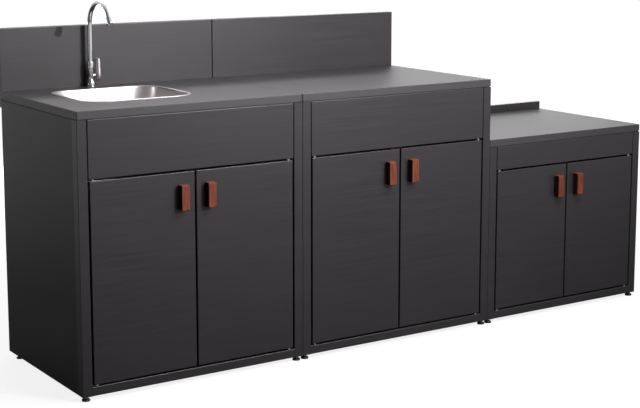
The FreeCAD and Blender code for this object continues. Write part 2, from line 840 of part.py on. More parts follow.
def lever_drop():
    """Drop-shaped grip: a turned profile, flattened a little across the stem."""
    px, py, pz = lever_pivot()
    tip_z = lever_above - lever_tip_radius
    slant = math.asin((lever_radius - lever_tip_radius) / tip_z)
    wide = V(lever_radius * math.cos(slant), 0, lever_radius * math.sin(slant))
    slim = V(lever_tip_radius * math.cos(slant), 0, tip_z + lever_tip_radius * math.sin(slant))
    low_turn = -math.pi / 4
    low_mid = V(lever_radius * math.cos(low_turn), 0, lever_below * math.sin(low_turn))
    top_turn = (slant + math.pi / 2) / 2
    top_mid = V(lever_tip_radius * math.cos(top_turn), 0, tip_z + lever_tip_radius * math.sin(top_turn))
    curve = Part.BSplineCurve()
    curve.interpolate(
        Points=[V(0, 0, -lever_below), low_mid, wide],
        InitialTangent=V(1, 0, 0), FinalTangent=slim - wide)
    edges = [
        curve.toShape(),
        Part.LineSegment(wide, slim).toShape(),
        Part.Arc(slim, top_mid, V(0, 0, lever_above)).toShape(),
        Part.LineSegment(V(0, 0, lever_above), V(0, 0, -lever_below)).toShape(),
    ]
    drop = Part.Face(Part.Wire(edges)).revolve(V(0, 0, 0), V(0, 0, 1), 360)
    flat = FreeCAD.Matrix()
    flat.A11 = lever_flatness_share
    drop = drop.transformGeometry(flat)
    drop.translate(V(px, py, pz))
    return drop


def tap_lever():
    """Lever with a pocket for the knuckle and the slot that lets it tilt on the stem."""
    px, py, pz = lever_pivot()
    reach = lever_radius
    fall = reach * math.tan(math.radians(lever_tilt_degrees))
    half = stem_neck_radius + running_gap
    slot = block([px - reach, py - half, pz - half - fall], [px, py + half, pz + half])
    return lever_drop().cut(knuckle(fit_gap).fuse(slot))


def save_cabinet(cab):
    save(cab.name + "_post_left", post(cab, cab.x0))
    save(cab.name + "_post_right", post(cab, cab.open1))
    save(cab.name + "_base", base(cab))
    save(cab.name + "_back", back_panel(cab))
    save(cab.name + "_fascia", fascia(cab))
    save(cab.name + "_worktop", worktop(cab))
    save(cab.name + "_catch", catch(cab))
    for word, is_left in (("left", True), ("right", False)):
        save(cab.name + "_side_" + word, side(cab, is_left))
        save(cab.name + "_door_" + word, door(cab, is_left))
        save(cab.name + "_pull_" + word, pull(cab, is_left))


def save_row():
    every_foot = [place for cab in cabinets for place in feet_of(cab)]
    save_group("foot_studs", [foot_stud(x, y) for x, y in every_foot])
    save_group("foot_pads", [foot_pad(x, y) for x, y in every_foot])
    save_group("hinge_pins", [pin for cab in cabinets for pin in hinge_pins(cab)])
    save_group("carcass_screws", [one for cab in cabinets for one in carcass_screws(cab)])
    save_group("module_bolts", [one for a, b in zip(cabinets, cabinets[1:]) for one in module_bolts(a, b)])
    save("sink_splash", splash(sink))
    save("store_splash", splash(store))
    save("low_upstand", upstand(low))
    save("store_shelf", shelf())
    save_group("shelf_brackets", shelf_brackets())


def save_sink():
    save("basin", basin())
    save_group("basin_clips", basin_clips())
    save("waste", waste())
    save("strainer", strainer())
    save("trap", trap())


def save_tap():
    save("tap_body", tap_body())
    save("tap_nut", tap_nut())
    save("tap_spout", tap_spout())
    save("tap_aerator", tap_aerator())
    save("tap_stem", tap_stem())
    save("tap_lever", tap_lever())


os.makedirs("parts", exist_ok=True)
for one_cabinet in cabinets:
    save_cabinet(one_cabinet)
save_row()
save_sink()
save_tap()
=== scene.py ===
import math

import bmesh
import bpy
from mathutils import Matrix, Vector


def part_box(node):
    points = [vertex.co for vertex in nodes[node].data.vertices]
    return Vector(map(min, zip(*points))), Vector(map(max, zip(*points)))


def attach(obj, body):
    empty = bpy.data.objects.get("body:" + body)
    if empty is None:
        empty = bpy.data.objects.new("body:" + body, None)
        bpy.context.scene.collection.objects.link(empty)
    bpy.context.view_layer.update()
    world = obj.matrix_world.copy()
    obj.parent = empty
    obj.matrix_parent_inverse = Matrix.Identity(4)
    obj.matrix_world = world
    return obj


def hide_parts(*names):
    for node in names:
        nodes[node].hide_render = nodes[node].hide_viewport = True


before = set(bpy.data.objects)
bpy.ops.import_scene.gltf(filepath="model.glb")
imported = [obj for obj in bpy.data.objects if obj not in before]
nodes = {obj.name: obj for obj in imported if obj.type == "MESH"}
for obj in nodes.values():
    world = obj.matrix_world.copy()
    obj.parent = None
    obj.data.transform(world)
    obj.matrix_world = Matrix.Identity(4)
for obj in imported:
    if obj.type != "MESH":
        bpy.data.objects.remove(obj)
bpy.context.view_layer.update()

# Cabinet carcasses: corner posts, side panels, base trays, back panels and fascias.
# Folded 1.5 mm steel, powder coated in anthracite. The satin polyester skin is slightly
# uneven, and faint lines follow the way each sheet was rolled and blasted.
CABINETS = ("sink", "store", "low")
CARCASS_PARTS = ("post_left", "post_right", "base", "back", "fascia")
LINE_SPACING = 0.007   # real lines lie about 2 mm apart, drawn coarser so that they show
LINE_LENGTH = 0.30
LINE_SHARE = 0.7       # of the tone, and the rest comes from broad clouds
LINE_RELIEF = 0.6      # height of the lines against the grain of the skin
SKIN_GRAIN = 0.0035    # grains of a fine coat are 0.2 mm, drawn coarser so that they show
SKIN_BUMP, SKIN_DEPTH = 0.25, 0.0002
CLOUD_SIZE = 0.40
COAT_TINT = "#fffafe"


def linear(code):
    """sRGB hex to the linear colour that a shader takes."""
    parts = [int(code[i:i + 2], 16) / 255 for i in (1, 3, 5)]
    bent = [c / 12.92 if c <= 0.04045 else ((c + 0.055) / 1.055) ** 2.4 for c in parts]
    return tuple(bent) + (1.0,)


def feed(tree, node, links):
    """Joins or sets the inputs of a node that links names."""
    for key, value in links.items():
        if isinstance(value, bpy.types.NodeSocket):
            tree.links.new(value, node.inputs[key])
        else:
            node.inputs[key].default_value = value


def add(tree, kind, links=None, **settings):
    """Adds a node, sets its settings, and joins or sets the inputs that links names."""
    node = tree.nodes.new(kind)
    for name, value in settings.items():
        setattr(node, name, value)
    feed(tree, node, links or {})
    return node


def reckon(tree, operation, *values, **settings):
    """One step of arithmetic on numbers or on the values of nodes."""
    step = add(tree, "ShaderNodeMath", dict(enumerate(values)), operation=operation, **settings)
    return step.outputs[0]


def ranged(tree, value, low=0.0, high=1.0, starts=0.0, ends=1.0):
    """Spreads a value that runs from starts to ends over the range from low to high."""
    limits = {"From Min": starts, "From Max": ends, "To Min": low, "To Max": high}
    return add(tree, "ShaderNodeMapRange", {"Value": value, **limits}).outputs["Result"]


def noise(tree, place, size, detail, distortion=0.0):
    """Uneven marks of one size, or with a size of their own along each axis."""
    if isinstance(size, tuple):
        scale = [1 / length for length in size]
        place = add(tree, "ShaderNodeMapping", {"Vector": place, "Scale": scale}).outputs["Vector"]
        size = 1.0
    look = {"Vector": place, "Scale": 1 / size, "Detail": detail, "Distortion": distortion}
    return add(tree, "ShaderNodeTexNoise", look).outputs["Fac"]


def blend(tree, share, first, second):
    """A colour between two others, each of them a colour or the output of a node."""
    mix = add(tree, "ShaderNodeMix", {"Factor": share, "A": first, "B": second}, data_type="RGBA")
    return mix.outputs["Result"]


def relief(tree, height, strength, depth):
    """The slope that fine unevenness gives a surface."""
    slope = {"Height": height, "Strength": strength, "Distance": depth}
    return add(tree, "ShaderNodeBump", slope).outputs["Normal"]


def start_material(name):
    """A new material: itself, its tree, its shader and the place on the kitchen."""
    material = bpy.data.materials.new(name)
    material.use_nodes = True
    tree = material.node_tree
    tree.nodes.clear()
    shader = add(tree, "ShaderNodeBsdfPrincipled")
    add(tree, "ShaderNodeOutputMaterial", {"Surface": shader.outputs["BSDF"]})
    place = add(tree, "ShaderNodeTexCoord").outputs["Object"]
    return material, tree, shader, place


def powder_coat(name, along, dark, light, smooth, rough, shine):
    """Satin anthracite coat whose faint lines run along one axis of the kitchen."""
    material, tree, shader, place = start_material(name)
    line_size = [LINE_SPACING] * 3
    line_size[along] = LINE_LENGTH
    lines = noise(tree, place, tuple(line_size), 2.0)
    clouds = noise(tree, place, CLOUD_SIZE, 1.0)
    grain = noise(tree, place, SKIN_GRAIN, 1.0)
    tone = reckon(tree, "MULTIPLY", lines, LINE_SHARE)
    tone = reckon(tree, "MULTIPLY_ADD", clouds, 1 - LINE_SHARE, tone)
    height = reckon(tree, "MULTIPLY_ADD", lines, LINE_RELIEF, grain)
    feed(tree, shader, {
        "Base Color": blend(tree, tone, linear(dark), linear(light)),
        "Roughness": ranged(tree, lines, smooth, rough),
        "Normal": relief(tree, height, SKIN_BUMP, SKIN_DEPTH),
        "Specular IOR Level": shine,
        "Specular Tint": linear(COAT_TINT),
    })
    return material


def paint_nodes(material, *names):
    """Puts a finish on CAD nodes, in the slots that they already have."""
    for name in names:
        for held in nodes[name].material_slots:
            held.material = material


front_coat = powder_coat(
    "powder_coated_steel_front", along=0, dark="#171517", light="#2a282a",
    smooth=0.33, rough=0.44, shine=0.40)
side_coat = powder_coat(
    "powder_coated_steel_side", along=1, dark="#1a181a", light="#2a282a",
    smooth=0.34, rough=0.43, shine=0.18)
for cabinet in CABINETS:
    paint_nodes(front_coat, *[f"{cabinet}_{part}" for part in CARCASS_PARTS])
    paint_nodes(side_coat, f"{cabinet}_side_left", f"{cabinet}_side_right")

# Worktops: 2 mm steel trays with a folded band and rounded upright corners, screwed on
# from below. They are coated a little rougher than the panels, against scratches, and at
# a low angle they mirror what stands behind them.
CORNER_ROUND = 0.004
CORNER_STEPS = 4
SAME_POINT = 1e-6      # points of a CAD node that are closer than this are one
HAIR = 1e-7            # smaller than any step of a shape
SQUARE_ON = 0.9995     # faces that look straight along an axis stay flat

top_coat = powder_coat(
    "powder_coated_steel_top", along=0, dark="#222022", light="#2d2a2d",
    smooth=0.50, rough=0.58, shine=0.50)


def round_upright_corners(name):
    """A copy of a tray whose upright corners are drawn in to a quarter circle."""
    low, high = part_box(name)
    tray = bmesh.new()
    tray.from_mesh(nodes[name].data)
    bmesh.ops.remove_doubles(tray, verts=tray.verts, dist=SAME_POINT)
    for axis, across in enumerate((Vector((1.0, 0.0, 0.0)), Vector((0.0, 1.0, 0.0)))):
        for step in range(CORNER_STEPS):
            reach = CORNER_ROUND * (1 - math.tan(math.pi / 4 * step / CORNER_STEPS))
            for place in (low[axis] + reach, high[axis] - reach):
                whole = tray.verts[:] + tray.edges[:] + tray.faces[:]
                bmesh.ops.bisect_plane(
                    tray, geom=whole, dist=HAIR, plane_co=across * place, plane_no=across)
    for vert in tray.verts:
        inner_x = min(max(vert.co.x, low.x + CORNER_ROUND), high.x - CORNER_ROUND)
        inner_y = min(max(vert.co.y, low.y + CORNER_ROUND), high.y - CORNER_ROUND)
        dx, dy = vert.co.x - inner_x, vert.co.y - inner_y
        if abs(dx) > HAIR and abs(dy) > HAIR:
            pull = max(abs(dx), abs(dy)) / math.hypot(dx, dy)
            vert.co.x, vert.co.y = inner_x + dx * pull, inner_y + dy * pull
    bmesh.ops.triangulate(tray, faces=tray.faces)
    tray.normal_update()
    for face in tray.faces:
        face.smooth = max(abs(share) for share in face.normal) < SQUARE_ON
    return tray


def smooth_up_to(mesh, angle):
    """Smooth shading up to an angle, sharp beyond it."""
    mesh.shade_smooth()
    mesh.set_sharp_from_angle(angle=math.radians(angle))


def new_piece(name, mesh_tools, material, smooth_angle=None):
    """A finished mesh as an object at the origin, smooth up to an angle."""
    mesh = bpy.data.meshes.new(name)
    mesh_tools.to_mesh(mesh)
    mesh_tools.free()
    if smooth_angle is not None:
        smooth_up_to(mesh, smooth_angle)
    mesh.materials.append(material)
    piece = bpy.data.objects.new(name, mesh)
    bpy.context.scene.collection.objects.link(piece)
    return piece


for cabinet in CABINETS:
    rounded = round_upright_corners(f"{cabinet}_worktop")
    tray = new_piece(f"{cabinet}_rounded_top", rounded, top_coat)
    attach(tray, "frame")
    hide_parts(f"{cabinet}_worktop")

# Splashbacks and the low upstand: folded trays in the same coat as the panels, screwed to
# the backs of the cabinets behind the worktop's edge.
paint_nodes(front_coat, "sink_splash", "store_splash", "low_upstand")

# Loose shelf of the storage cabinet, coated inside and out, on four zinc plated brackets.
# Screws, bolts, pins, brackets and foot studs are pressed or turned mild steel with a
# thin bright zinc plating, which looks pale grey with a faint cloudy sheen.
ZINC_CLOUD = 0.004


def metal(name, marks, detail, dark, light, smooth, rough):
    """Bare or plated metal whose tone and sheen vary together, with marks of some size."""
    material, tree, shader, place = start_material(name)
    uneven = noise(tree, place, marks, detail)
    feed(tree, shader, {
        "Base Color": blend(tree, uneven, linear(dark), linear(light)),
        "Roughness": ranged(tree, uneven, smooth, rough),
        "Metallic": 1.0,
    })
    return material


paint_nodes(front_coat, "store_shelf")
zinc = metal(
    "zinc_plated_steel", ZINC_CLOUD, detail=3.0, dark="#9a9c9e", light="#c3c6c8",
    smooth=0.28, rough=0.45)
paint_nodes(zinc, "shelf_brackets", "hinge_pins", "module_bolts", "foot_studs")
paint_nodes(zinc, "basin_clips", "tap_nut")

# Foot pads, door catches and the bottle trap: injection moulded plastic. The pads and
# catches are black nylon, the trap is white polypropylene, all with a fine spark texture.
MOULD_GRAIN = 0.0012
MOULD_BUMP, MOULD_DEPTH = 0.2, 0.0001


def moulded(name, dark, light, rough):
    """Moulded plastic with the fine texture of its steel tool."""
    material, tree, shader, place = start_material(name)
    grain = noise(tree, place, MOULD_GRAIN, 2.0)
    feed(tree, shader, {
        "Base Color": blend(tree, grain, linear(dark), linear(light)),
        "Normal": relief(tree, grain, MOULD_BUMP, MOULD_DEPTH),
        "Roughness": rough,
    })
    return material


black_nylon = moulded("moulded_black_nylon", "#0e0e0f", "#19191a", rough=0.55)
white_plastic = moulded("moulded_white_polypropylene", "#d8d8d4", "#e6e6e2", rough=0.42)
paint_nodes(black_nylon, "foot_pads", *[f"{cabinet}_catch" for cabinet in CABINETS])
paint_nodes(white_plastic, "trap")

# Doors: folded steel trays in the same anthracite coat, each turning on two steel pins.
for cabinet in CABINETS:
    paint_nodes(front_coat, f"{cabinet}_door_left", f"{cabinet}_door_right")

# Pull blocks: solid reddish hardwood, planed, eased along the edges and oiled. Both flanks
# carry painted shade: they are coloured near black, as unlit sides look. The grain stands
# upright. Each is held by two screws from behind the door.
GRAIN_WIDTH = 0.0016
GRAIN_LENGTH = 0.060
GRAIN_SHARE = 0.45     # of the tone, and the rest comes from the broad figure
GRAIN_BUMP, GRAIN_DEPTH = 0.35, 0.0002
FIGURE_WIDTH = 0.009
FIGURE_SHARE = 0.55
FIGURE_BEND = 0.6
DARK_WOOD, DARK_WOOD_AT = "#341309", 0.30
PALE_WOOD, PALE_WOOD_AT = "#7c3a24", 0.70
# painted shade: the near black that both flanks of each pull take, standing in for unlit sides
FLANK_PAINTED_SHADE = "#170c08"

oiled_wood, tree, shader, place = start_material("oiled_red_hardwood")
fine = noise(tree, place, (GRAIN_WIDTH, GRAIN_WIDTH, GRAIN_LENGTH), 4.0)
figure = noise(tree, place, (FIGURE_WIDTH, FIGURE_WIDTH, GRAIN_LENGTH), 2.0, FIGURE_BEND)
tone = reckon(tree, "MULTIPLY", fine, GRAIN_SHARE)
tone = reckon(tree, "MULTIPLY_ADD", figure, FIGURE_SHARE, tone)
ramp = add(tree, "ShaderNodeValToRGB", {"Fac": tone})
wood_stops = ((DARK_WOOD, DARK_WOOD_AT), (PALE_WOOD, PALE_WOOD_AT))
for stop, (colour, position) in zip(ramp.color_ramp.elements, wood_stops):
    stop.position = position
    stop.color = linear(colour)
looking = add(tree, "ShaderNodeTexCoord").outputs["Normal"]
sideways = add(tree, "ShaderNodeSeparateXYZ", {"Vector": looking}).outputs["X"]
# painted shade mask: faces that turn to the left or right take the flanks' near black
painted_shade_flank = ranged(tree, reckon(tree, "ABSOLUTE", sideways), starts=0.45, ends=0.75)
feed(tree, shader, {
    "Base Color": blend(tree, painted_shade_flank, ramp.outputs["Color"], linear(FLANK_PAINTED_SHADE)),
    "Normal": relief(tree, fine, GRAIN_BUMP, GRAIN_DEPTH),
    "Roughness": 0.5,
    "Specular IOR Level": 0.25,
})
for cabinet in CABINETS:
    paint_nodes(oiled_wood, f"{cabinet}_pull_left", f"{cabinet}_pull_right")

# Inset basin: one pressed bowl of 1 mm stainless steel, brushed along its length, with a
# rolled rim that lies on the worktop. Its walls lean in as the press leaves them, so that
# they mirror the room only once.
BASIN_SHEET = 0.001
basin_low, basin_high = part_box("basin")
BASIN_CENTRE = (basin_low + basin_high) / 2
BASIN_TOP = basin_high.z
BASIN_FLOOR = basin_low.z + BASIN_SHEET
RIM_HALF = (0.200, 0.175)
RIM_CORNER = 0.085
CORNER_LOSS = 0.014    # how much smaller the corners get from the rim to the walls
LEAST_CORNER = 0.02
DRAIN_HALF = 0.0216
BRUSH_LENGTH = 0.25
BRUSH_SPACING = 0.0008  # brushing lines are far finer, drawn coarser so that they show
# How far each ring lies in from the rim's outside, its height, and how round it has become
BASIN_RINGS = (
    (0.0000, BASIN_TOP - 0.0014, 0.0),
    (0.0003, BASIN_TOP - 0.0006, 0.0),
    (0.0012, BASIN_TOP - 0.0001, 0.0),
    (0.0025, BASIN_TOP, 0.0),
    (0.0085, BASIN_TOP - 0.0001, 0.0),
    (0.0105, BASIN_TOP - 0.0006, 0.0),
    (0.0122, BASIN_TOP - 0.0020, 0.0),
    (0.0131, BASIN_TOP - 0.0045, 0.0),
    (0.0134, BASIN_TOP - 0.0090, 0.0),
    (0.0206, BASIN_TOP - 0.0600, 0.0),
    (0.0222, BASIN_TOP - 0.0900, 0.0),
    (0.0232, BASIN_FLOOR + 0.0300, 0.0),
    (0.0255, BASIN_FLOOR + 0.0190, 0.0),
    (0.0305, BASIN_FLOOR + 0.0105, 0.0),
    (0.0380, BASIN_FLOOR + 0.0045, 0.0),
    (0.0480, BASIN_FLOOR + 0.0020, 0.05),
    (0.0700, BASIN_FLOOR + 0.0013, 0.25),
    (0.1100, BASIN_FLOOR + 0.0008, 0.60),
    (0.1500, BASIN_FLOOR + 0.0003, 0.95),
)
# Radius and height of the rings round the hole for the waste
DRAIN_RINGS = ((0.036, BASIN_FLOOR + 0.0001), (0.033, BASIN_FLOOR), (DRAIN_HALF, BASIN_FLOOR))
BASIN_COLUMNS = 120
BASIN_SHARP = 50


def full_turn(count):
    """Angles that divide a full turn evenly."""
    return [2 * math.pi * k / count for k in range(count)]


def rounded_reach(turn, half_x, half_y, corner):
    """Point of a rounded rectangle in the direction of a turn from its middle."""
    dx, dy = abs(math.cos(turn)), abs(math.sin(turn))
    nothing = 1e-9
    if dx > nothing and dy / dx * half_x <= half_y - corner:
        reach = half_x / dx
    elif dy > nothing and dx / dy * half_y <= half_x - corner:
        reach = half_y / dy
    else:
        cx, cy = half_x - corner, half_y - corner
        along = dx * cx + dy * cy
        reach = along + math.sqrt(max(along * along - cx * cx - cy * cy + corner * corner, 0.0))
    return reach * math.cos(turn), reach * math.sin(turn)


def skin(mesh_tools, rings, loop=False):
    """Quads between rings of points that have the same count, round again for a loop."""
    made = [[mesh_tools.verts.new(point) for point in ring] for ring in rings]
    for outer, inner in zip(made, made[1:] + made[:1] if loop else made[1:]):
        for i in range(len(outer)):
            j = (i + 1) % len(outer)
            mesh_tools.faces.new((outer[i], outer[j], inner[j], inner[i]))


brushed = metal(
    "brushed_stainless_steel", (BRUSH_LENGTH, BRUSH_SPACING, BRUSH_SPACING), detail=3.0,
    dark="#cec8c9", light="#d8d2d3", smooth=0.27, rough=0.31)

turns = full_turn(BASIN_COLUMNS)
rings = []
for inset, z, roundness in BASIN_RINGS:
    half_x, half_y = RIM_HALF[0] - inset, RIM_HALF[1] - inset
    corner = min(max(RIM_CORNER - min(inset, CORNER_LOSS), LEAST_CORNER), half_y)
    plain = min(half_x, half_y)
    half_x += (plain - half_x) * roundness
    half_y += (plain - half_y) * roundness
    corner += (min(half_x, half_y) - corner) * roundness
    outline = [rounded_reach(turn, half_x, half_y, corner) for turn in turns]
    rings.append([(BASIN_CENTRE.x + x, BASIN_CENTRE.y + y, z) for x, y in outline])
for radius, z in DRAIN_RINGS:
    outline = [(radius * math.cos(turn), radius * math.sin(turn)) for turn in turns]
    rings.append([(BASIN_CENTRE.x + x, BASIN_CENTRE.y + y, z) for x, y in outline])
shell = bmesh.new()
skin(shell, rings)
bmesh.ops.recalc_face_normals(shell, faces=shell.faces)
if sum(face.normal.z for face in shell.faces) < 0:
    bmesh.ops.reverse_faces(shell, faces=shell.faces)
bowl = new_piece("basin_bowl", shell, brushed, BASIN_SHARP)
wall = bowl.modifiers.new("sheet", "SOLIDIFY")
wall.thickness = BASIN_SHEET
wall.offset = -1
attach(bowl, "frame")
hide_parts("basin")

# Waste and strainer: turned and pressed stainless steel in the bowl's floor. The strainer
# lifts out by its knob.
paint_nodes(brushed, "waste", "strainer")

# Mixer tap: brass, cast and turned, polished and chrome plated. The body stands on the
# worktop, clamped from below, and a tube bent to a swan neck turns in its top. The body
# has a bell foot, a slim waist, a column and a side boss bored for the lever's stem.
SPOUT_RADIUS = 0.008
spout_low, spout_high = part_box("tap_spout")
TAP_X, TAP_Y = (spout_low.x + spout_high.x) / 2, spout_high.y - SPOUT_RADIUS
TAP_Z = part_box("sink_worktop")[1].z
# Radius and height of each step, the body's over the worktop, the others' along the boss
BODY_PROFILE = (
    (0.0000, -0.0450), (0.0094, -0.0450), (0.0100, -0.0444), (0.0100, 0.0000),
    (0.0146, 0.0000), (0.0150, 0.0004), (0.0150, 0.0022), (0.0147, 0.0030),
    (0.0143, 0.0034), (0.0143, 0.0038), (0.0146, 0.0044), (0.0145, 0.0080),
    (0.0141, 0.0112), (0.0134, 0.0142), (0.0125, 0.0170), (0.0114, 0.0198),
    (0.0102, 0.0222), (0.0094, 0.0240), (0.0090, 0.0262), (0.0090, 0.0392),
    (0.0093, 0.0402), (0.0104, 0.0410), (0.01075, 0.0418), (0.01075, 0.0846),
    (0.0104, 0.0856), (0.0098, 0.0860), (0.00845, 0.0860), (0.00805, 0.0856),
    (0.00805, 0.0610), (0.0000, 0.0610),
)
BOSS_PROFILE = (
    (0.0000, 0.0010), (0.0080, 0.0010), (0.0080, 0.0124), (0.0077, 0.0129),
    (0.0072, 0.0130), (0.0000, 0.0130),
)
STEM_BORE = ((0.0000, 0.0030), (0.00505, 0.0030), (0.00505, 0.0150), (0.0000, 0.0150))
LEVER_RISE = 0.038
LEVER_AXIS = TAP_Z + LEVER_RISE
UPRIGHT = Matrix.Translation((TAP_X, TAP_Y, TAP_Z))
TO_THE_SIDE = (
    Matrix.Translation((TAP_X, TAP_Y, LEVER_AXIS)) @ Matrix.Rotation(math.pi / 2, 4, "Y"))
TURNED_SIDES = 72
TURNED_SHARP = 32
CHROME_HAZE = 0.006


def circles(profile, count):
    """Level rings of points, one for each radius and height of a profile."""
    steps = full_turn(count)
    return [[(r * math.cos(t), r * math.sin(t), z) for t in steps] for r, z in profile]


def turned(profile, place):
    """A lathe-turned mesh, its profile given as radius and height, put in its place."""
    lathe = bmesh.new()
    skin(lathe, circles(profile, TURNED_SIDES))
    bmesh.ops.remove_doubles(lathe, verts=lathe.verts, dist=HAIR)
    lathe.transform(place)
    bmesh.ops.recalc_face_normals(lathe, faces=lathe.faces)
    return lathe


def evaluated_mesh(piece):
    """The mesh of a piece as its modifiers leave it."""
    bpy.context.view_layer.update()
    shown = piece.evaluated_get(bpy.context.evaluated_depsgraph_get())
    return bpy.data.meshes.new_from_object(shown)


def carved(piece, tool, operation):
    """Joins a second mesh to a piece or cuts it away, and clears the tool."""
    fitted = piece.modifiers.new("carve", "BOOLEAN")
    fitted.operation = operation
    fitted.solver = "EXACT"
    fitted.object = tool
    result = evaluated_mesh(piece)
    piece.modifiers.clear()
    piece.data = result
    bpy.data.objects.remove(tool)
    return piece


chrome = metal(
    "polished_chrome_plate", CHROME_HAZE, detail=2.0, dark="#c4c5c7", light="#d6d7d8",
    smooth=0.05, rough=0.12)
body = new_piece("tap_casting", turned(BODY_PROFILE, UPRIGHT), chrome)
body = carved(body, new_piece("boss", turned(BOSS_PROFILE, TO_THE_SIDE), chrome), "UNION")
body = carved(body, new_piece("bore", turned(STEM_BORE, TO_THE_SIDE), chrome), "DIFFERENCE")
smooth_up_to(body.data, TURNED_SHARP)
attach(body, "frame")
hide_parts("tap_body")

# Swan-neck spout: a 16 mm brass tube of 1 mm wall, bent over a former, chrome plated. It
# stands in the body's bore and swivels there.
SPOUT_WALL = 0.001
SPOUT_FOOT = 0.0613
SPOUT_START = TAP_Z + SPOUT_FOOT
BEND_RADIUS = 0.078
BEND_Z = spout_high.z - SPOUT_RADIUS - BEND_RADIUS
SWEEP = math.radians(150)
TAIL = 0.026
BEND_STEPS = 60
SPOUT_SIDES = 48
SPOUT_SHARP = 40


def bend_point(turn):
    """Middle of the tube after some turn of its bend."""
    back_off, rise = BEND_RADIUS * (math.cos(turn) - 1), BEND_RADIUS * math.sin(turn)
    return Vector((TAP_X, TAP_Y + back_off, BEND_Z + rise))


def spout_rings(radius):
    """Rings of the tube along its centre line, from its foot to its mouth."""
    stations = [(Vector((TAP_X, TAP_Y, SPOUT_START)), 0.0)]
    for k in range(BEND_STEPS + 1):
        turn = SWEEP * k / BEND_STEPS
        stations.append((bend_point(turn), turn))
    end, turn = stations[-1]
    stations.append((end + Vector((0, -math.sin(turn), math.cos(turn))) * TAIL, turn))
    tube_rings = []
    for middle, turn in stations:
        across = Vector((0, math.cos(turn), math.sin(turn)))
        ring = []
        for t in full_turn(SPOUT_SIDES):
            out = Vector((radius * math.cos(t), 0, 0)) + across * radius * math.sin(t)
            ring.append(middle + out)
        tube_rings.append(ring)
    return tube_rings


tube = bmesh.new()
skin(tube, spout_rings(SPOUT_RADIUS) + spout_rings(SPOUT_RADIUS - SPOUT_WALL)[::-1], True)
bmesh.ops.recalc_face_normals(tube, faces=tube.faces)
spout = new_piece("swan_neck", tube, chrome, SPOUT_SHARP)
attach(spout, "spout")
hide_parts("tap_spout")

# Aerator: a turned brass sleeve, flared towards its mouth and grooved for the fingers,
# screwed on the spout's end, with a pierced disc set back in the mouth.
AERATOR_LENGTH = 0.026
AERATOR_PAST_TUBE = 0.006
AERATOR_PROFILE = (
    (0.0000, 0.0200), (0.00805, 0.0200), (0.00805, 0.0004), (0.0084, 0.0000),
    (0.0092, 0.0000), (0.0096, 0.0005), (0.0098, 0.0050), (0.0100, 0.0100),
    (0.0103, 0.0145), (0.0104, 0.0150), (0.0101, 0.0154), (0.0101, 0.0162),
    (0.0105, 0.0166), (0.0109, 0.0190), (0.0110, 0.0215), (0.0110, 0.0244),
    (0.0107, 0.0254), (0.0101, 0.0260), (0.0087, 0.0260), (0.0081, 0.0256),
    (0.0080, 0.0250), (0.0080, 0.0230), (0.0000, 0.0230),
)
mouth_way = Vector((0, -math.sin(SWEEP), math.cos(SWEEP)))
sleeve_start = bend_point(SWEEP) + mouth_way * (TAIL + AERATOR_PAST_TUBE - AERATOR_LENGTH)
to_mouth = mouth_way.to_track_quat("Z", "X").to_matrix().to_4x4()
facing = Matrix.Translation(sleeve_start) @ to_mouth
aerator = new_piece("aerator_sleeve", turned(AERATOR_PROFILE, facing), chrome, TURNED_SHARP)
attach(aerator, "spout")
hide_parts("tap_aerator")

# Lever stem and lever: the polished stem turns in the boss. A drop-shaped lever of cast
# brass, chrome plated over a satin blast, tilts on the stem's cross pin, in a slot that
# is cut from its side.
LEVER_REACH = 0.028
LEVER_X = TAP_X + LEVER_REACH
LEVER_FLAT = 0.95
LEVER_WIDE, LEVER_WIDE_Z = 0.01163, 0.00126
LEVER_SLIM, LEVER_SLIM_Z = 0.0084, 0.0515
LEVER_BELOW, LEVER_ABOVE = 0.020, 0.059
KNUCKLE_RADIUS, KNUCKLE_HALF = 0.00505, 0.00405
SLOT_REACH, SLOT_HALF, SLOT_FALL = 0.0140, 0.0033, 0.00426
FOOT_STEPS, SIDE_STEPS, TOP_STEPS = 12, 6, 8
BLAST_GRAIN = 0.002

satin_chrome = metal(
    "satin_chrome_plate", BLAST_GRAIN, detail=2.0, dark="#8f898b", light="#a49ea0",
    smooth=0.34, rough=0.46)
lever_profile = []
for k in range(FOOT_STEPS + 1):
    turn = math.pi / 2 * k / FOOT_STEPS
    drop = (LEVER_BELOW + LEVER_WIDE_Z) * math.cos(turn)
    lever_profile.append((LEVER_WIDE * math.sin(turn), LEVER_WIDE_Z - drop))
for k in range(1, SIDE_STEPS + 1):
    share = k / SIDE_STEPS
    radius = LEVER_WIDE + (LEVER_SLIM - LEVER_WIDE) * share
    lever_profile.append((radius, LEVER_WIDE_Z + (LEVER_SLIM_Z - LEVER_WIDE_Z) * share))
for k in range(1, TOP_STEPS + 1):
    turn = math.pi / 2 * k / TOP_STEPS
    rise = (LEVER_ABOVE - LEVER_SLIM_Z) * math.sin(turn)
    lever_profile.append((LEVER_SLIM * math.cos(turn), LEVER_SLIM_Z + rise))
pin_profile = (
    (0.0, -KNUCKLE_HALF), (KNUCKLE_RADIUS, -KNUCKLE_HALF),
    (KNUCKLE_RADIUS, KNUCKLE_HALF), (0.0, KNUCKLE_HALF),
)
pivot = Matrix.Translation((LEVER_X, TAP_Y, LEVER_AXIS))
flattened = pivot @ Matrix.Diagonal((LEVER_FLAT, 1.0, 1.0, 1.0))
across_pin = pivot @ Matrix.Rotation(math.pi / 2, 4, "X")
slot_low = Vector((LEVER_X - SLOT_REACH, TAP_Y - SLOT_HALF, LEVER_AXIS - SLOT_HALF - SLOT_FALL))
slot_high = Vector((LEVER_X, TAP_Y + SLOT_HALF, LEVER_AXIS + SLOT_HALF))
slot_middle = Matrix.Translation((slot_low + slot_high) / 2)
slot_cutter = bmesh.new()
bmesh.ops.create_cube(slot_cutter, size=1.0)
slot_cutter.transform(slot_middle @ Matrix.Diagonal((*(slot_high - slot_low), 1.0)))
lever = new_piece("drop_lever", turned(lever_profile, flattened), satin_chrome)
pin_bore = new_piece("pin_bore", turned(pin_profile, across_pin), chrome)
lever = carved(lever, pin_bore, "DIFFERENCE")
